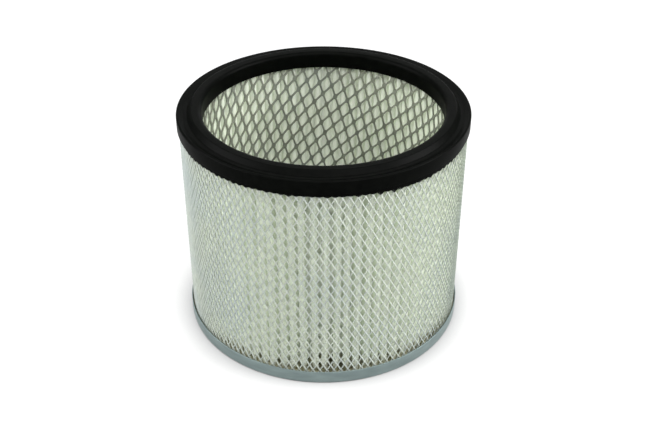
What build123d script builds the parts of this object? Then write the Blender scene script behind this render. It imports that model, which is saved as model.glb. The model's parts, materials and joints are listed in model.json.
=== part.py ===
from build123d import *
import math
import os

# Round pleated cartridge filter with one open end.
# Millimetres, +Z up, the axis at X = Y = 0 and the floor at Z = 0.
# A zigzag pleated pack stands between two lattice tubes. A pressed steel pan
# closes the lower end and a moulded ring with a sealing ridge forms the open end.

# Clearances
seat_clearance = 0.05     # round a tube in its moulded seat, and between adhesive and steel
pleat_clearance = 0.15    # between the pleat crests and the tube beside them

# Moulded ring, in section from the bore outwards
bore_radius = 62.0        # the open end, where a spigot enters
bore_skin = 0.9           # material between the bore and the core tube
skirt_skin = 1.0          # material outside the guard tube
cap_roof = 5.5            # ridge top to the end of the pack
cap_embed = 4.0           # how far the skirt reaches below the end of the pack
bore_lip_round = 2.5      # rounded edge where the bore meets the ridge
ridge_land = 3.0          # flat sealing width on the ridge
ridge_flank_run = 1.9     # sloping outer side of the ridge, measured outwards
ridge_edge_round = 0.7    # outer top edge of the ridge
channel_width = 2.2       # floor of the shallow channel outside the ridge
channel_drop = 2.7        # ridge top to channel floor
channel_foot_round = 0.8  # where the ridge meets the channel floor
rim_drop = 1.4            # ridge top to the outer rim
rim_edge_round = 0.9      # outer top edge of the ring

# Pleated media, which stands between the two tubes
pleat_count = 84
pleat_depth = 8.909       # crest to crest, measured outwards
media_thickness = 0.6
pack_height = 116.0       # media and both tubes

# Lattice tubes: strands crossing in two directions, with four-sided openings.
# Every strand runs straight from one crossing to the next, so each wall is a
# ring of narrow flats with its crossings on the corners.
core_thickness = 0.8
core_strand = 2.4         # width of one strand
core_rising = 12          # cell steps per turn along the rising strands
core_falling = 16         # cell steps per turn along the falling strands
core_falling_angle = 45.0  # degrees from the level
core_falling_flats = 2    # flats crossed by one falling step, where a rising step crosses one
guard_thickness = 0.6
guard_strand = 1.7
guard_columns = 20        # openings per turn
guard_rows = 4            # staggered rows of whole openings

# Pressed steel pan
sheet = 0.5
rim_gap = 0.55            # between the guard tube and the inside of the rim
rim_height = 7.3
plateau_height = 3.9      # raised middle of the pan, top face
plateau_gap = 1.65        # between the core tube and the wall of the plateau
bend = 0.7                # inside radius of every bend

# Adhesive in the pan
adhesive_floor = 1.0      # below the pack
adhesive_level = 5.0      # its surface above the floor
adhesive_edge_extra = 0.3  # its lower edges are this much rounder than the bends

# Radii that follow, from the bore outwards: core, media, guard, ring and pan.
# A tube's inner radius is taken to its flats and its outer radius to its corners.
core_flats = core_rising + core_falling * core_falling_flats
core_corner = 1 / math.cos(math.pi / core_flats)
core_inner = bore_radius + bore_skin + seat_clearance
core_outer = (core_inner + core_thickness) * core_corner
media_inner = core_outer + pleat_clearance
media_outer = media_inner + pleat_depth
guard_flats = 2 * guard_columns
guard_corner = 1 / math.cos(math.pi / guard_flats)
guard_inner = media_outer + pleat_clearance
guard_outer = (guard_inner + guard_thickness) * guard_corner
cap_radius = guard_outer + seat_clearance + skirt_skin
rim_inner = guard_outer + rim_gap
rim_outer = rim_inner + sheet
plateau_outer = core_inner - plateau_gap

# Heights that follow, from the floor up
pack_bottom = sheet + adhesive_floor
pack_top = pack_bottom + pack_height
ridge_top = pack_top + cap_roof
skirt_bottom = pack_top - cap_embed


def tube(inner, outer, low, high):
    """A plain tube about the axis."""
    ring = Circle(outer) - Circle(inner)
    return extrude(Pos(0, 0, low) * ring, high - low)


def turned(profile):
    """A solid of revolution from a section drawn in radius and height."""
    return revolve(Plane.XZ * profile, Axis.Z)


def eased_corner(before, corner, after, radius, flats):
    """Points round a corner on an arc of this radius, in this many equal flats."""
    corner = Vector(*corner, 0)
    back = (Vector(*before, 0) - corner).normalized()
    ahead = (Vector(*after, 0) - corner).normalized()
    half = math.radians(back.get_angle(ahead)) / 2
    centre = corner + (back + ahead).normalized() * radius / math.sin(half)
    start = corner + back * radius / math.tan(half) - centre
    side = 1 if back.cross(ahead).Z < 0 else -1
    sweep = side * (180 - 2 * math.degrees(half))
    turns = [sweep * step / flats for step in range(flats + 1)]
    return [tuple(centre + start.rotate(Axis.Z, turn))[:2] for turn in turns]


def section(points, rounds):
    """A closed section. rounds maps a corner's number to its radius and its number of flats."""
    outline = []
    for number, corner in enumerate(points):
        if number in rounds:
            before = points[number - 1]
            after = points[(number + 1) % len(points)]
            outline += eased_corner(before, corner, after, *rounds[number])
        else:
            outline.append(corner)
    return make_face(Polyline(*outline, close=True))


# Pleated media

def pleat_outline(crest_radius, crest_half, valley_radius, turn):
    """One boundary of the zigzag: a flat-topped crest and a sharp valley for every pleat."""
    points = []
    pitch = 2 * math.pi / pleat_count
    for number in range(pleat_count):
        crest = (number + turn) * pitch
        valley = crest + pitch / 2
        lean = crest_half / crest_radius
        for radius, angle in (
            (crest_radius, crest - lean),
            (crest_radius, crest + lean),
            (valley_radius, valley),
        ):
            points.append((radius * math.cos(angle), radius * math.sin(angle)))
    return make_face(Polyline(*points, close=True))


def media_section():
    """The closed zigzag ring of media, the same thickness on crests and flanks."""
    half_pitch = math.pi * (media_inner + media_outer) / 2 / pleat_count
    flank = math.atan2(half_pitch, media_outer - media_inner)
    crest_half = media_thickness * (1 - math.sin(flank)) / math.cos(flank)
    outside = pleat_outline(media_outer, crest_half, media_inner + media_thickness, 0)
    inside = pleat_outline(media_inner, crest_half, media_outer - media_thickness, 0.5)
    return outside - inside


# Lattice tubes

def opening_cutter(wall_radius, across, height, corners):
    """A prism along one radius that cuts one four-sided opening through the wall."""
    turn = across / wall_radius
    outward = Vector(math.cos(turn), math.sin(turn), 0)
    along = Vector(-math.sin(turn), math.cos(turn), 0)
    start = outward * wall_radius / 2 + Vector(0, 0, height)
    plane = Plane(origin=start, x_dir=along, z_dir=outward)
    return extrude(plane * make_face(Polyline(*corners, close=True)), wall_radius)


def flat_sided_tube(inner, outer, flats):
    """A tube of the pack's height: inner is the radius to its flats, outer to its corners."""
    outside = RegularPolygon(outer, flats)
    inside = RegularPolygon(inner, flats, major_radius=False)
    return extrude(Pos(0, 0, pack_bottom) * (outside - inside), pack_height)


def lattice_tube(wall, wall_radius, rising, falling, rising_steps, strand):
    """The wall with its openings: rising and falling are the two edges of one cell."""
    cell_area = rising[0] * -falling[1] + rising[1] * falling[0]
    spacing = cell_area / math.hypot(*rising)
    open_share = 1 - strand / spacing
    half_up = (rising[0] / 2 * open_share, rising[1] / 2 * open_share)
    half_down = (falling[0] / 2 * open_share, falling[1] / 2 * open_share)
    corners = [
        (half_up[0] + half_down[0], half_up[1] + half_down[1]),
        (half_up[0] - half_down[0], half_up[1] - half_down[1]),
        (-half_up[0] - half_down[0], -half_up[1] - half_down[1]),
        (-half_up[0] + half_down[0], -half_up[1] + half_down[1]),
    ]
    reach = (rising[1] - falling[1]) / 2 * open_share
    cutters = []
    for up in range(rising_steps):
        level = up * rising[1]
        first = math.floor((level - pack_height) / -falling[1]) - 1
        last = math.ceil(level / -falling[1]) + 1
        for down in range(first, last + 1):
            height = level + down * falling[1]
            if not -reach < height < pack_height + reach:
                continue
            across = up * rising[0] + down * falling[0]
            cutters.append(opening_cutter(wall_radius, across, pack_bottom + height, corners))
    return wall - cutters


def guard_tube():
    """The outer tube, with upright openings."""
    half_width = 2 * math.pi * guard_outer / guard_flats
    half_height = pack_height / (guard_rows + 1)
    rising = (half_width, half_height)
    falling = (half_width, -half_height)
    wall = flat_sided_tube(guard_inner, guard_outer, guard_flats)
    return lattice_tube(wall, guard_outer, rising, falling, guard_columns, guard_strand)


def core_tube():
    """The inner tube, whose openings lean, because its strip was wound at a slant."""
    flat = 2 * math.pi * core_outer / core_flats
    falling_run = flat * core_falling_flats
    falling_drop = falling_run * math.tan(math.radians(core_falling_angle))
    rising = (flat, falling_drop * core_falling / core_rising)
    falling = (falling_run, -falling_drop)
    wall = flat_sided_tube(core_inner, core_outer, core_flats)
    return lattice_tube(wall, core_outer, rising, falling, core_rising, core_strand)


# Moulded ring

def top_cap():
    """The ring: bore, rounded lip, sealing ridge, shallow channel, rim, skirt, and the seat below."""
    ridge_inner = bore_radius + bore_lip_round
    ridge_outer = ridge_inner + ridge_land
    channel_inner = ridge_outer + ridge_flank_run
    channel_outer = channel_inner + channel_width
    points = [
        (bore_radius, skirt_bottom),
        (bore_radius, ridge_top),
        (ridge_outer, ridge_top),
        (channel_inner, ridge_top - channel_drop),
        (channel_outer, ridge_top - channel_drop),
        (cap_radius, ridge_top - rim_drop),
        (cap_radius, skirt_bottom),
    ]
    rounds = {
        1: (bore_lip_round, 2),
        2: (ridge_edge_round, 1),
        3: (channel_foot_round, 1),
        5: (rim_edge_round, 1),
    }
    ring = turned(section(points, rounds))
    seat = tube(core_inner - seat_clearance, guard_outer + seat_clearance, skirt_bottom, pack_top)
    return ring - seat


# Pan and adhesive

def bottom_pan():
    """The pan: upturned rim, flat channel floor and a raised middle, all of one sheet."""
    points = [
        (0, plateau_height),
        (plateau_outer, plateau_height),
        (plateau_outer, sheet),
        (rim_inner, sheet),
        (rim_inner, rim_height),
        (rim_outer, rim_height),
        (rim_outer, 0),
        (plateau_outer - sheet, 0),
        (plateau_outer - sheet, plateau_height - sheet),
        (0, plateau_height - sheet),
    ]
    outer_bend = bend + sheet
    rounds = {
        1: (outer_bend, 1),
        2: (bend, 1),
        3: (bend, 1),
        6: (outer_bend, 1),
        7: (outer_bend, 1),
        8: (bend, 1),
    }
    return turned(section(points, rounds))


def bottom_potting(media):
    """The adhesive that fills the pan's channel round the pack, up between the pleats."""
    inner = plateau_outer + seat_clearance
    outer = rim_inner - seat_clearance
    edge = bend + adhesive_edge_extra
    points = [
        (inner, sheet),
        (outer, sheet),
        (outer, adhesive_level),
        (inner, adhesive_level),
    ]
    ring = turned(section(points, {0: (edge, 1), 1: (edge, 1)}))
    slots = [
        extrude(Pos(0, 0, pack_bottom) * media, pack_height),
        tube(core_inner - seat_clearance, core_outer + seat_clearance, pack_bottom, pack_top),
        tube(guard_inner - seat_clearance, guard_outer + seat_clearance, pack_bottom, pack_top),
    ]
    return ring - slots


def main():
    media = media_section()
    parts = {
        "top_cap": top_cap(),
        "outer_mesh": guard_tube(),
        "pleated_media": extrude(Pos(0, 0, pack_bottom) * media, pack_height),
        "inner_mesh": core_tube(),
        "bottom_potting": bottom_potting(media),
        "bottom_pan": bottom_pan(),
    }
    os.makedirs("parts", exist_ok=True)
    for name, shape in parts.items():
        shape.label = name
        export_step(shape, os.path.join("parts", name + ".step"))


main()
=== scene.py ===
import json
import math
import random

import bmesh
import bpy
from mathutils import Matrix, Vector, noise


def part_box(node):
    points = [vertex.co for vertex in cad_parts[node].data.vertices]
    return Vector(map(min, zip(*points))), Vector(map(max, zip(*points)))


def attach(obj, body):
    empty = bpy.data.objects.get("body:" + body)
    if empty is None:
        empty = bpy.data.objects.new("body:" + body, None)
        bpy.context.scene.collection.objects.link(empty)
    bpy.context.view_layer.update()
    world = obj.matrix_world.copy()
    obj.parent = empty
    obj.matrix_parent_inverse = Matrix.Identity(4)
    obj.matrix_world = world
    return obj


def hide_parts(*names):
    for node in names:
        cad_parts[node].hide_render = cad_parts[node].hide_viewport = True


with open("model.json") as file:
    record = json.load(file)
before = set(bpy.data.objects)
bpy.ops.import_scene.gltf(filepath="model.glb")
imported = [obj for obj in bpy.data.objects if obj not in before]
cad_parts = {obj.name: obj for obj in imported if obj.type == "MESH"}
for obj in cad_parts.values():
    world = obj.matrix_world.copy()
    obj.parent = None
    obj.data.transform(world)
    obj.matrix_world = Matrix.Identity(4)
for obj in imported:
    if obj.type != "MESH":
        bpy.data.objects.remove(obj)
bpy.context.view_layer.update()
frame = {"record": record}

# A round pleated cartridge filter. Metres, +Z up, axis at X = Y = 0, floor at Z = 0.
# Angles run from +X towards +Y. The camera looks along +Y, so the near side is at -90 degrees.

MM = 0.001
TURN = 2 * math.pi
FRONT = -math.pi / 2    # the near side

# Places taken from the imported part

ring_low, ring_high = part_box("top_cap")
guard_low, guard_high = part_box("outer_mesh")
core_low, core_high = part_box("inner_mesh")
pan_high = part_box("bottom_pan")[1]
potting_low, potting_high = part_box("bottom_potting")
media_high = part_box("pleated_media")[1]
mounts = {mount["name"]: mount for mount in frame["record"]["mounts"]}

RING_RADIUS = ring_high[0]
RIDGE_TOP = ring_high[2]
SKIRT_BOTTOM = ring_low[2]
BORE_RADIUS = mounts["cap_bore"]["dims"]["r_mm"] * MM
PACK_BOTTOM, PACK_TOP = guard_low[2], guard_high[2]
RIM_RADIUS, RIM_TOP = pan_high[0], pan_high[2]


# Materials

# A Mix node has several sockets under the same names, so its colours go by their numbers.
MIX_COLOURS = (6, 7)
MIX_RESULT = 2


def new_material(name):
    """A new material with its nodes and the links between them."""
    material = bpy.data.materials.new(name)
    material.use_nodes = True
    return material, material.node_tree.nodes, material.node_tree.links


def noise_node(nodes, links, scale, detail=3.0, stretch=(1, 1, 1)):
    """Solid noise in object space; scale is in repeats per metre."""
    place = nodes.new("ShaderNodeTexCoord")
    mapping = nodes.new("ShaderNodeMapping")
    mapping.inputs["Scale"].default_value = stretch
    grain = nodes.new("ShaderNodeTexNoise")
    grain.inputs["Scale"].default_value = scale
    grain.inputs["Detail"].default_value = detail
    links.new(place.outputs["Object"], mapping.inputs["Vector"])
    links.new(mapping.outputs["Vector"], grain.inputs["Vector"])
    return grain.outputs["Fac"]


def ramp_node(nodes, links, source, stops):
    """A colour ramp on a noise or mask; stops are (position, colour) pairs."""
    ramp = nodes.new("ShaderNodeValToRGB")
    while len(ramp.color_ramp.elements) < len(stops):
        ramp.color_ramp.elements.new(0.5)
    for element, (position, colour) in zip(ramp.color_ramp.elements, stops):
        element.position = position
        element.color = (*colour, 1)
    links.new(source, ramp.inputs["Fac"])
    return ramp.outputs["Color"]


def range_node(nodes, links, source, low, high, start=0.0, end=1.0):
    """Spreads a value between start and end over low to high, and holds it there beyond them."""
    spread = nodes.new("ShaderNodeMapRange")
    spread.inputs["From Min"].default_value = start
    spread.inputs["From Max"].default_value = end
    spread.inputs["To Min"].default_value = low
    spread.inputs["To Max"].default_value = high
    links.new(source, spread.inputs["Value"])
    return spread.outputs["Result"]


def mix_node(nodes, links, factor, first, second):
    """Blends two colours, each a socket or a plain colour: all first at 0 and all second at 1."""
    blend = nodes.new("ShaderNodeMix")
    blend.data_type = "RGBA"
    links.new(factor, blend.inputs["Factor"])
    for socket, colour in zip(MIX_COLOURS, (first, second)):
        if isinstance(colour, tuple):
            blend.inputs[socket].default_value = (*colour, 1)
        else:
            links.new(colour, blend.inputs[socket])
    return blend.outputs[MIX_RESULT]


def math_node(nodes, links, operation, first, second):
    """One operation on two values: first is a socket, second a socket or a number."""
    step = nodes.new("ShaderNodeMath")
    step.operation = operation
    links.new(first, step.inputs[0])
    if isinstance(second, float):
        step.inputs[1].default_value = second
    else:
        links.new(second, step.inputs[1])
    return step.outputs["Value"]


def bump_node(nodes, links, height, distance, strength):
    """Relief from a height between 0 and 1, up to distance in metres."""
    bump = nodes.new("ShaderNodeBump")
    bump.inputs["Strength"].default_value = strength
    bump.inputs["Distance"].default_value = distance
    links.new(height, bump.inputs["Height"])
    return bump.outputs["Normal"]


def clear_from_behind(nodes, links, surface):
    """The surface shows and scatters only on its front. From behind, light goes straight through."""
    side = nodes.new("ShaderNodeNewGeometry")
    clear = nodes.new("ShaderNodeBsdfTransparent")
    both = nodes.new("ShaderNodeMixShader")
    links.new(side.outputs["Backfacing"], both.inputs["Fac"])
    links.new(surface, both.inputs[1])
    links.new(clear.outputs["BSDF"], both.inputs[2])
    links.new(both.outputs["Shader"], nodes["Material Output"].inputs["Surface"])


def moulded_ring_material():
    """Black foamed polyurethane: satin skin, faint mottling and pits."""
    material, nodes, links = new_material("black_moulded_rubber")
    shader = nodes["Principled BSDF"]
    dark = (0.0007, 0.0009, 0.0007)
    light = (0.0018, 0.0021, 0.0017)
    mottle = noise_node(nodes, links, 260, 4)
    colour = ramp_node(nodes, links, mottle, [(0.3, dark), (0.75, light)])
    links.new(colour, shader.inputs["Base Color"])
    links.new(range_node(nodes, links, mottle, 0.33, 0.48), shader.inputs["Roughness"])
    pits = noise_node(nodes, links, 1800, 2)
    links.new(bump_node(nodes, links, pits, 0.04 * MM, 0.5), shader.inputs["Normal"])
    shader.inputs["Specular IOR Level"].default_value = 0.02
    return material


def bare_steel_material(name, dark, light, cool, rough, scale):
    """Galvanised steel: mottled zinc with cooler patches and an uneven sheen."""
    material, nodes, links = new_material(name)
    shader = nodes["Principled BSDF"]
    mottle = noise_node(nodes, links, scale, 3)
    zinc = ramp_node(nodes, links, mottle, [(0.3, dark), (0.7, light)])
    patches = range_node(nodes, links, noise_node(nodes, links, 28, 2), -0.9, 1.1)
    links.new(mix_node(nodes, links, patches, zinc, cool), shader.inputs["Base Color"])
    links.new(range_node(nodes, links, mottle, *rough), shader.inputs["Roughness"])
    shader.inputs["Metallic"].default_value = 0.35
    grain = noise_node(nodes, links, scale * 6, 2)
    links.new(bump_node(nodes, links, grain, 0.03 * MM, 0.4), shader.inputs["Normal"])
    return material


def bright_steel_material():
    """The guard tube's steel."""
    return bare_steel_material(
        "bright_steel",
        dark=(0.34, 0.375, 0.33),
        light=(0.45, 0.485, 0.435),
        cool=(0.32, 0.365, 0.38),
        rough=(0.4, 0.55),
        scale=400,
    )


def shaded_core_steel_material():
    """The core tube's steel: the same steel as the guard's, darker than the guard's because shade is
    painted into it.
    """
    return bare_steel_material(
        "shaded_core_steel",
        # Painted shade: these colours are darker than the guard's only for the shade that falls inside the
        # tube.
        dark=(0.14, 0.15, 0.115),
        light=(0.22, 0.235, 0.19),
        cool=(0.15, 0.17, 0.16),
        rough=(0.4, 0.6),
        scale=300,
    )


def media_material():
    """Pale fibre sheet, a little yellow and stained by adhesive at its foot."""
    material, nodes, links = new_material("fibre_media")
    shader = nodes["Principled BSDF"]
    dark = (0.87, 0.905, 0.815)
    light = (0.925, 0.95, 0.87)
    stained = (0.34, 0.33, 0.21)
    fibre = noise_node(nodes, links, 900, 5, (1, 1, 0.35))
    clean = ramp_node(nodes, links, fibre, [(0.3, dark), (0.7, light)])
    colour = mix_node(nodes, links, stain_mask(nodes, links), clean, stained)
    links.new(colour, shader.inputs["Base Color"])
    shader.inputs["Roughness"].default_value = 0.9
    shader.inputs["Specular IOR Level"].default_value = 0.2
    links.new(bump_node(nodes, links, fibre, 0.15 * MM, 0.6), shader.inputs["Normal"])
    through = nodes.new("ShaderNodeBsdfTranslucent")
    links.new(colour, through.inputs["Color"])
    both = nodes.new("ShaderNodeMixShader")
    both.inputs["Fac"].default_value = 0.6
    links.new(shader.outputs["BSDF"], both.inputs[1])
    links.new(through.outputs["BSDF"], both.inputs[2])
    # The sheet scatters light where a ray enters it and lets it out on its far side.
    clear_from_behind(nodes, links, both.outputs["Shader"])
    return material


def stain_mask(nodes, links):
    """1 at the foot of the pack and 0 above, with an uneven upper edge."""
    place = nodes.new("ShaderNodeTexCoord")
    split = nodes.new("ShaderNodeSeparateXYZ")
    links.new(place.outputs["Object"], split.inputs["Vector"])
    ragged = math_node(nodes, links, "MULTIPLY", noise_node(nodes, links, 50, 4), -18 * MM)
    height = math_node(nodes, links, "ADD", ragged, split.outputs["Z"])
    return range_node(nodes, links, height, 1.0, 0.0, start=-3.0 * MM, end=1.0 * MM)


def adhesive_material():
    """Set brownish adhesive with small bubbles."""
    material, nodes, links = new_material("brown_adhesive")
    shader = nodes["Principled BSDF"]
    dark = (0.14, 0.14, 0.08)
    light = (0.30, 0.295, 0.19)
    mottle = noise_node(nodes, links, 300, 3)
    colour = ramp_node(nodes, links, mottle, [(0.3, dark), (0.7, light)])
    links.new(colour, shader.inputs["Base Color"])
    shader.inputs["Roughness"].default_value = 0.5
    bubbles = noise_node(nodes, links, 1200, 2)
    links.new(bump_node(nodes, links, bubbles, 0.1 * MM, 0.6), shader.inputs["Normal"])
    return material


def pan_material():
    """Galvanised sheet: blue-grey, satin, with soft drawing marks round the rim."""
    material, nodes, links = new_material("galvanised_sheet")
    shader = nodes["Principled BSDF"]
    dark = (0.135, 0.175, 0.175)
    light = (0.18, 0.23, 0.225)
    bloom = noise_node(nodes, links, 90, 3, (1, 1, 4))
    colour = ramp_node(nodes, links, bloom, [(0.3, dark), (0.7, light)])
    links.new(colour, shader.inputs["Base Color"])
    links.new(range_node(nodes, links, bloom, 0.34, 0.5), shader.inputs["Roughness"])
    shader.inputs["Metallic"].default_value = 0.5
    marks = noise_node(nodes, links, 1500, 2, (0.12, 0.12, 1))
    links.new(bump_node(nodes, links, marks, 0.02 * MM, 0.5), shader.inputs["Normal"])
    return material


# Pieces in mesh code

def make_piece(name, vertices, faces, material, slot, *nodes, smooth_angle=None):
    """A mesh piece on the part's only body, standing for the named nodes if there are any."""
    mesh = bpy.data.meshes.new(name)
    mesh.from_pydata(vertices, [], faces)
    mesh.materials.append(material)
    piece = bpy.data.objects.new(name, mesh)
    bpy.context.scene.collection.objects.link(piece)
    if smooth_angle is not None:
        mesh.shade_smooth()
        mesh.set_sharp_from_angle(angle=math.radians(smooth_angle))
    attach(piece, "root")
    if nodes:
        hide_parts(*nodes)
    return piece


def on_cylinder(radius, angle, height):
    """A point at this radius, angle and height."""
    return (radius * math.cos(angle), radius * math.sin(angle), height)


def rounded(points, rounds, steps=6):
    """The closed section with some corners as arcs: rounds maps a corner's number to its radius."""
    outline = []
    for number, corner in enumerate(points):
        if number not in rounds:
            outline.append(corner)
            continue
        here = Vector(corner)
        back = (Vector(points[number - 1]) - here).normalized()
        ahead = (Vector(points[(number + 1) % len(points)]) - here).normalized()
        half = back.angle(ahead) / 2
        centre = here + (back + ahead).normalized() * rounds[number] / math.sin(half)
        start = (here + back * rounds[number] / math.tan(half) - centre).normalized()
        end = (here + ahead * rounds[number] / math.tan(half) - centre).normalized()
        for step in range(steps + 1):
            outline.append(tuple(centre + start.slerp(end, step / steps) * rounds[number]))
    return outline


def turned_piece(name, outline, material, slot, *nodes, segments=288, wobble=None):
    """A closed section turned about the axis. wobble gives the radius and height that a point moves to."""
    vertices = []
    faces = []
    count = len(outline)
    for segment in range(segments):
        angle = TURN * segment / segments
        for radius, height in outline:
            if wobble:
                radius, height = wobble(radius, angle, height)
            vertices.append(on_cylinder(radius, angle, height))
        here = segment * count
        there = (segment + 1) % segments * count
        for number in range(count):
            after = (number + 1) % count
            faces.append((here + number, there + number, there + after, here + after))
    return make_piece(name, vertices, faces, material, slot, *nodes, smooth_angle=32)


def wave(angle, count, phase, size):
    """A slow waviness with so many waves round the axis."""
    return size * math.sin(count * angle + phase)


# Moulded ring

def moulded_ring(material):
    """Bore, rounded lip, sealing ridge, shallow channel, rim and skirt."""
    top = RIDGE_TOP
    ring = RING_RADIUS
    bore = BORE_RADIUS
    seat_inner = bore + 0.9 * MM
    seat_outer = ring - 1.0 * MM
    ridge_outer = bore + 5.5 * MM
    channel_inner = bore + 7.4 * MM
    channel_outer = bore + 9.6 * MM
    channel_floor = top - 2.7 * MM
    points = [
        (seat_inner, PACK_TOP),
        (seat_inner, SKIRT_BOTTOM + 0.4 * MM),
        (bore, SKIRT_BOTTOM),
        (bore, top),
        (ridge_outer, top),
        (channel_inner, channel_floor),
        (channel_outer, channel_floor),
        (ring, top - 1.4 * MM),
        (ring, SKIRT_BOTTOM + 0.9 * MM),
        (seat_outer, SKIRT_BOTTOM + 0.7 * MM),
        (seat_outer, PACK_TOP),
    ]
    rounds = {
        2: 0.3 * MM,
        3: 2.5 * MM,
        4: 0.7 * MM,
        5: 0.8 * MM,
        6: 0.8 * MM,
        7: 0.9 * MM,
        8: 0.25 * MM,
    }

    def wobble(radius, angle, height):
        skin = wave(angle, 3, 0.4, 0.06 * MM) + wave(angle, 7, 2.1, 0.03 * MM)
        return min(radius + skin, ring), height

    return turned_piece(
        "moulded_ring", rounded(points, rounds), material, "moulded_ring", "top_cap", wobble=wobble
    )


# Lattice tubes of expanded metal

GUARD_COLUMNS = 130


def hole_outline(share, blunt, tip):
    """One opening in cell units, as (along the rising edge, along the falling edge, corner) points.

    share is its part of the cell's edges. blunt cuts its left and right corners off, where the
    metal was left uncut. tip does so above and below, or leaves a sharp end if it is 0. corner
    says which corner of the cell is nearest.
    """
    half = share / 2
    top = [(half, -half)] if not tip else [(half - tip, -half), (half, -half + tip)]
    bottom = [(-half, half)] if not tip else [(-half + tip, half), (-half, half - tip)]
    right = [(half, half - blunt), (half - blunt, half)]
    left = [(-half, -half + blunt), (-half + blunt, -half)]
    outline = []
    for corner, points in enumerate((top, right, bottom, left)):
        outline += [(a, b, corner) for a, b in points]
    return outline


def lattice_piece(name, metal, lattice, material, slot, node):
    """A tube of expanded metal, cut off square at both ends.

    metal is its middle radius, thickness, the lean of its strands in and out, and its two ends.
    lattice is a cell's rising and falling edges, the cells of each kind in a turn, and an opening.
    """
    radius, thickness, tilt, low, high = metal
    rising, falling, turn_up, turn_down, outline = lattice
    corners = [(0.5, -0.5), (0.5, 0.5), (-0.5, 0.5), (-0.5, -0.5)]
    turn_length = turn_up * rising[0] + turn_down * falling[0]
    vertices = []
    faces = []
    crossings = {}

    def place(up, down, lean):
        angle = TURN * (up * rising[0] + down * falling[0]) / turn_length
        height = up * rising[1] + down * falling[1] + low
        first = len(vertices)
        vertices.append(on_cylinder(radius + lean + thickness / 2, angle, height))
        vertices.append(on_cylinder(radius + lean - thickness / 2, angle, height))
        return first

    def crossing(up, down):
        turns = math.floor(up / turn_up)
        key = (up - turns * turn_up, down - turns * turn_down)
        if key not in crossings:
            crossings[key] = place(*key, 0)
        return crossings[key]

    def skin(*loop):
        faces.append(loop)
        faces.append(tuple(number + 1 for number in reversed(loop)))

    reach = (rising[1] - falling[1]) / 2
    half_run = (rising[0] + falling[0]) / 2
    for up in range(turn_up):
        level = up * rising[1]
        first = math.floor((level - (high - low) - reach) / -falling[1])
        last = math.ceil((level + reach) / -falling[1])
        for down in range(first, last + 1):
            height = (up + 0.5) * rising[1] + (down + 0.5) * falling[1]
            if not -reach < height < high - low + reach:
                continue
            around = [crossing(up + round(a + 0.5), down + round(b + 0.5)) for a, b in corners]
            hole = []
            for a, b, corner in outline:
                lean = -2 * tilt * (a * rising[0] + b * falling[0]) / half_run
                hole.append((place(up + 0.5 + a, down + 0.5 + b, lean), corner))
            for number, (here, corner) in enumerate(hole):
                there, next_corner = hole[(number + 1) % len(hole)]
                faces.append((here, there, there + 1, here + 1))
                if corner == next_corner:
                    skin(around[corner], there, here)
                else:
                    skin(around[corner], around[next_corner], there, here)
    piece = make_piece(name, vertices, faces, material, slot, node)
    cut_square(piece, low, high)
    return piece


def cut_square(piece, low, high):
    """Cuts a piece off at two levels and closes every cut strand."""
    form = bmesh.new()
    form.from_mesh(piece.data)
    for level, side in ((low, -1), (high, 1)):
        parts = form.verts[:] + form.edges[:] + form.faces[:]
        cut = bmesh.ops.bisect_plane(
            form, geom=parts, dist=1e-7, plane_co=(0, 0, level), plane_no=(0, 0, side), clear_outer=True
        )
        edges = [item for item in cut["geom_cut"] if isinstance(item, bmesh.types.BMEdge)]
        bmesh.ops.edgeloop_fill(form, edges=edges)
    bmesh.ops.recalc_face_normals(form, faces=form.faces)
    form.to_mesh(piece.data)
    form.free()


def guard_tube(material):
    """The outer tube: fine upright diamonds."""
    rows = 35
    thickness = 0.42 * MM
    tilt = -0.14 * MM
    radius = guard_high[0] - thickness / 2 - abs(tilt)
    half_width = TURN * radius / GUARD_COLUMNS / 2
    half_height = (PACK_TOP - PACK_BOTTOM) / (rows + 1)
    lattice = (
        (half_width, half_height),
        (half_width, -half_height),
        GUARD_COLUMNS,
        GUARD_COLUMNS,
        hole_outline(0.80, 0.055, 0),
    )
    metal = (radius, thickness, tilt, PACK_BOTTOM, PACK_TOP)
    return lattice_piece("outer_expanded_metal", metal, lattice, material, "guard_steel", "outer_mesh")


def core_tube(material):
    """The inner tube: coarser diamonds that lean, because its strip was wound at a slant."""
    turn_up = 45
    turn_down = 61
    falling_turn = math.radians(45)
    rising_turn = math.asin(turn_down * math.sin(falling_turn) / turn_up)
    thickness = 0.6 * MM
    tilt = 0.04 * MM
    radius = core_high[0] - thickness / 2 - tilt
    edge = TURN * radius / (turn_up * math.cos(rising_turn) + turn_down * math.cos(falling_turn))
    lattice = (
        (edge * math.cos(rising_turn), edge * math.sin(rising_turn)),
        (edge * math.cos(falling_turn), -edge * math.sin(falling_turn)),
        turn_up,
        turn_down,
        hole_outline(0.85, 0.17, 0.12),
    )
    metal = (radius, thickness, tilt, PACK_BOTTOM, PACK_TOP)
    return lattice_piece("inner_expanded_metal", metal, lattice, material, "core_steel", "inner_mesh")


# Pleated media

def pleat_line(places, inner, outer):
    """The middle line of the sheet at one level, with round crests and inner folds.

    places has one (shift, reach) for each pleat: how far it is off its even place, in pleats, and
    how far its crest stays inside the outer radius.
    """
    first_crest = FRONT + math.radians(0.67)
    crest_round = 1.35 * MM
    fold_round = 1.75 * MM
    bend = math.radians(95)
    arc_steps = 4
    pitch = TURN / len(places)
    line = []
    for number, (shift, reach) in enumerate(places):
        next_shift = places[(number + 1) % len(places)][0]
        crest = first_crest + (number + shift) * pitch
        fold = first_crest + (number + (shift + 1 + next_shift) / 2) * pitch
        for step in range(-arc_steps, arc_steps + 1):
            turn = bend * step / arc_steps
            radius = outer - reach - crest_round * (1 - math.cos(turn))
            line.append((radius, crest + crest_round * math.sin(turn) / radius))
        for step in range(-arc_steps, arc_steps + 1):
            turn = bend * step / arc_steps
            radius = inner + fold_round * (1 - math.cos(turn))
            line.append((radius, fold + fold_round * math.sin(turn) / radius))
    return line


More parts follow.
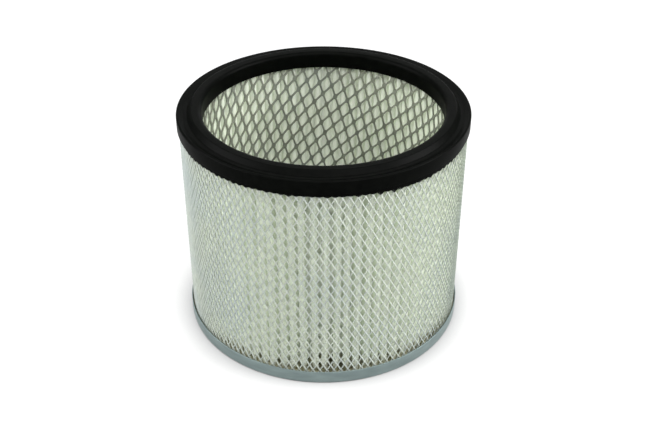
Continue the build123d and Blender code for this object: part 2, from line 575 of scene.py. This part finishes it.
def media_ring(material):
    """The pleated sheet: 84 folds with rounded crests, slightly irregular along their height."""
    count = 84
    levels = 18
    half = 0.25 * MM              # half the sheet's thickness
    crests_out = 0.2 * MM         # how far the outermost crests pass those of the solid
    core_clearance = 0.15 * MM
    drift_turn = 5                # how far a pleat's drift swings over its height, in radians
    outer = media_high[0] + crests_out - half
    inner = core_high[0] + core_clearance + half
    seeded = random.Random(11)
    lean = [(seeded.uniform(-0.10, 0.10), seeded.uniform(0, 0.25) * MM) for _ in range(count)]
    drift = [(seeded.uniform(0, TURN), seeded.uniform(0.02, 0.07)) for _ in range(count)]
    vertices = []
    rows = []
    for level in range(levels + 1):
        share = level / levels
        height = PACK_BOTTOM + (PACK_TOP - PACK_BOTTOM) * share
        places = [
            (shift + size * math.sin(phase + drift_turn * share), reach)
            for (shift, reach), (phase, size) in zip(lean, drift)
        ]
        line = pleat_line(places, inner, outer)
        points = [Vector((radius * math.cos(angle), radius * math.sin(angle))) for radius, angle in line]
        row = []
        for number, point in enumerate(points):
            before = points[number - 1]
            after = points[(number + 1) % len(points)]
            along = (after - before).normalized()
            side = Vector((along.y, -along.x)) * half
            row.append(len(vertices))
            vertices.append((*(point + side), height))
            vertices.append((*(point - side), height))
        rows.append(row)
    faces = []
    for lower, upper in zip(rows, rows[1:]):
        for number, here in enumerate(lower):
            after = (number + 1) % len(lower)
            faces.append((here, lower[after], upper[after], upper[number]))
            faces.append((lower[after] + 1, here + 1, upper[number] + 1, upper[after] + 1))
    for row, flip in ((rows[0], True), (rows[-1], False)):
        for number, here in enumerate(row):
            there = row[(number + 1) % len(row)]
            face = (here, there, there + 1, here + 1)
            faces.append(tuple(reversed(face)) if flip else face)
    return make_piece(
        "pleated_sheet", vertices, faces, material, "filter_media", "pleated_media", smooth_angle=50
    )


# Resin teeth below the skirt

def resin_teeth(material):
    """Resin of the moulded ring below its skirt: it ran into the guard's openings and set in points.

    There is a tooth for each column of openings. The edge sags at the front right, and there some
    teeth end in a drip. Angles are in degrees from the front.
    """
    steps = 4
    outer = guard_high[0] + 0.03 * MM
    inner = outer - 1.0 * MM
    root = SKIRT_BOTTOM - 1.0 * MM
    top = SKIRT_BOTTOM + 3.0 * MM
    sag_middle = 34
    sag_reach = 17
    sag_depth = 0.9 * MM
    drips_from = 16
    drips_to = 28
    drip_depth = 1.3 * MM
    seeded = random.Random(4)
    depths = [seeded.uniform(0.3, 1.0) * MM for _ in range(GUARD_COLUMNS)]
    vertices = []
    faces = []
    total = GUARD_COLUMNS * steps
    for place in range(total):
        angle = TURN * place / total
        from_front = math.degrees(angle - FRONT) % 360
        tooth = round(place / steps) % GUARD_COLUMNS
        off_tip = abs((place / steps + 0.5) % 1 - 0.5) * 2
        drip = drip_depth if drips_from < from_front < drips_to and tooth % 2 else 0
        sag = sag_depth * math.exp(-(((from_front - sag_middle) / sag_reach) ** 2))
        low = root - sag - (depths[tooth] + drip) * (1 - off_tip)
        for radius, height in ((outer, top), (outer, low), (inner, low), (inner, top)):
            vertices.append(on_cylinder(radius, angle, height))
        here = 4 * place
        there = 4 * ((place + 1) % total)
        for number in range(4):
            after = (number + 1) % 4
            faces.append((here + number, here + after, there + after, there + number))
    return make_piece("resin_teeth", vertices, faces, material, "moulded_ring")


# Pan and adhesive

def pan_piece(material):
    """The pressed pan: thin upturned rim, flat channel and raised middle."""
    sheet = 0.5 * MM
    plateau_top = 3.9 * MM
    plateau = -core_low[0] - 2.5 * MM
    points = [
        (0.0, plateau_top),
        (plateau, plateau_top),
        (plateau, sheet),
        (RIM_RADIUS - sheet, sheet),
        (RIM_RADIUS - sheet, RIM_TOP),
        (RIM_RADIUS, RIM_TOP),
        (RIM_RADIUS, 0.0),
        (plateau - sheet, 0.0),
        (plateau - sheet, plateau_top - sheet),
        (0.0, plateau_top - sheet),
    ]
    rounds = {
        1: 1.2 * MM,
        2: 0.7 * MM,
        3: 0.7 * MM,
        4: 0.15 * MM,
        5: 0.15 * MM,
        6: 1.2 * MM,
        7: 1.2 * MM,
        8: 0.7 * MM,
    }
    return turned_piece("pressed_pan", rounded(points, rounds, 4), material, "pan_steel", "bottom_pan")


def adhesive_ring(material):
    """The adhesive in the pan's channel. Its surface is lumpy and lies flat at both edges."""
    outer = potting_high[0]
    inner = -potting_low[0] - 13.1 * MM
    level = potting_high[2]
    bottom = 0.5 * MM
    bevel = 1.0 * MM
    across = 14
    lumps_round = 14      # repeats per radian
    lumps_across = 840    # repeats per metre
    lump_height = 1.6 * MM
    fade_width = 1.2 * MM
    points = [(inner, level), (inner, bottom + bevel), (inner + bevel, bottom)]
    points += [(outer - bevel, bottom), (outer, bottom + bevel)]
    points += [(outer + (inner - outer) * step / across, level) for step in range(across)]

    def wobble(radius, angle, height):
        if height < level - 0.1 * MM:
            return radius, height
        lump = noise.noise(
            Vector((math.cos(angle) * lumps_round, math.sin(angle) * lumps_round, radius * lumps_across))
        )
        fade = min(1, (outer - radius) / fade_width, (radius - inner) / fade_width)
        return radius, height + (lump + 0.5) * lump_height * max(fade, 0)

    return turned_piece(
        "set_adhesive", points, material, "adhesive", "bottom_potting", segments=504, wobble=wobble
    )


# Stage, camera and light

def floor_material():
    """Grey that the camera sees as white, by a glow that fades round the object as its shadow."""
    material, nodes, links = new_material("white_floor")
    shader = nodes["Principled BSDF"]
    shader.inputs["Roughness"].default_value = 1.0
    shader.inputs["Specular IOR Level"].default_value = 0.0
    seen = nodes.new("ShaderNodeLightPath").outputs["Is Camera Ray"]
    colour = mix_node(nodes, links, seen, (0.42, 0.42, 0.42), (0.25, 0.25, 0.25))
    links.new(colour, shader.inputs["Base Color"])
    contact = nodes.new("ShaderNodeAmbientOcclusion")
    contact.inputs["Distance"].default_value = 16 * MM
    shadow = math_node(nodes, links, "POWER", contact.outputs["AO"], 1.4)
    # Where the lamps no longer reach, the floor glows more, up to the white of the surround.
    place = nodes.new("ShaderNodeTexCoord")
    distance = nodes.new("ShaderNodeVectorMath")
    distance.operation = "LENGTH"
    links.new(place.outputs["Object"], distance.inputs[0])
    level = range_node(nodes, links, distance.outputs["Value"], 0.64, 1.0, start=0.5, end=1.3)
    seen_shadow = math_node(nodes, links, "MULTIPLY", seen, shadow)
    glow = nodes.new("ShaderNodeEmission")
    links.new(math_node(nodes, links, "MULTIPLY", seen_shadow, level), glow.inputs["Strength"])
    both = nodes.new("ShaderNodeAddShader")
    links.new(shader.outputs["BSDF"], both.inputs[0])
    links.new(glow.outputs["Emission"], both.inputs[1])
    # Seen from below it is clear, so the pan's underside can be looked at.
    clear_from_behind(nodes, links, both.outputs["Shader"])
    return material


def white_stage():
    """A white floor that keeps the object's shadow, open under the pan so that its underside is lit."""
    sides = 128
    reach = 5.0
    hole = RIM_RADIUS - 1.5 * MM
    vertices = []
    faces = []
    for side in range(sides):
        angle = TURN * side / sides
        vertices += [on_cylinder(hole, angle, 0), on_cylinder(reach, angle, 0)]
        here = 2 * side
        there = 2 * ((side + 1) % sides)
        faces.append((here, here + 1, there + 1, there))
    mesh = bpy.data.meshes.new("floor")
    mesh.from_pydata(vertices, [], faces)
    mesh.materials.append(floor_material())
    floor = bpy.data.objects.new("floor", mesh)
    floor.location.z = -0.02 * MM
    bpy.context.scene.collection.objects.link(floor)


def camera():
    """The photograph's viewpoint: from the front, 33 degrees down.

    Its numbers were fitted to the outlines of ring, tube and pan in the photograph.
    """
    down = 33.347
    data = bpy.data.cameras.new("camera")
    data.lens = 54.80
    data.sensor_width = 36.0
    view = bpy.data.objects.new("camera", data)
    view.location = (0.72 * MM, -452.8 * MM, 351.25 * MM)
    view.rotation_euler = (math.radians(90 - down), 0, 0)
    bpy.context.scene.collection.objects.link(view)
    bpy.context.scene.camera = view


def surround():
    """An even pale world, white where the camera sees it."""
    world = bpy.data.worlds.new("surround")
    world.use_nodes = True
    nodes, links = world.node_tree.nodes, world.node_tree.links
    background = nodes["Background"]
    background.inputs["Color"].default_value = (0.95, 1.0, 0.97, 1)
    seen = nodes.new("ShaderNodeLightPath").outputs["Is Camera Ray"]
    links.new(range_node(nodes, links, seen, 0.27, 1.2), background.inputs["Strength"])
    bpy.context.scene.world = world


def area_light(name, place, size, power):
    """A rectangular lamp that points at the middle of the object."""
    data = bpy.data.lights.new(name, "AREA")
    data.shape = "RECTANGLE"
    data.size, data.size_y = size
    data.energy = power
    aim = Vector((0, 0, 60 * MM)) - Vector(place)
    lamp = bpy.data.objects.new(name, data)
    lamp.location = place
    lamp.rotation_euler = aim.to_track_quat("-Z", "Y").to_euler()
    bpy.context.scene.collection.objects.link(lamp)


def lights():
    """Soft studio light: large panels on both sides, and weaker ones in front and behind."""
    surround()
    area_light("left_panel", (-1.15, -0.20, 0.70), (1.1, 0.9), 24)
    area_light("right_panel", (1.15, -0.15, 0.70), (0.8, 0.6), 24)
    area_light("front_panel", (-0.15, -0.80, 1.25), (0.9, 0.5), 13)
    area_light("key_panel", (0.60, -0.85, 1.10), (0.5, 0.5), 9)
    area_light("back_panel", (0.1, 1.4, 0.18), (1.4, 0.3), 3)
    area_light("rear_panel", (0.1, 0.90, 1.20), (1.0, 0.5), 8.5)
    bpy.context.scene.view_settings.view_transform = "Standard"


def main():
    camera()
    lights()
    white_stage()
    rubber = moulded_ring_material()
    moulded_ring(rubber)
    resin_teeth(rubber)
    guard_tube(bright_steel_material())
    core_tube(shaded_core_steel_material())
    media_ring(media_material())
    pan_piece(pan_material())
    adhesive_ring(adhesive_material())


main()
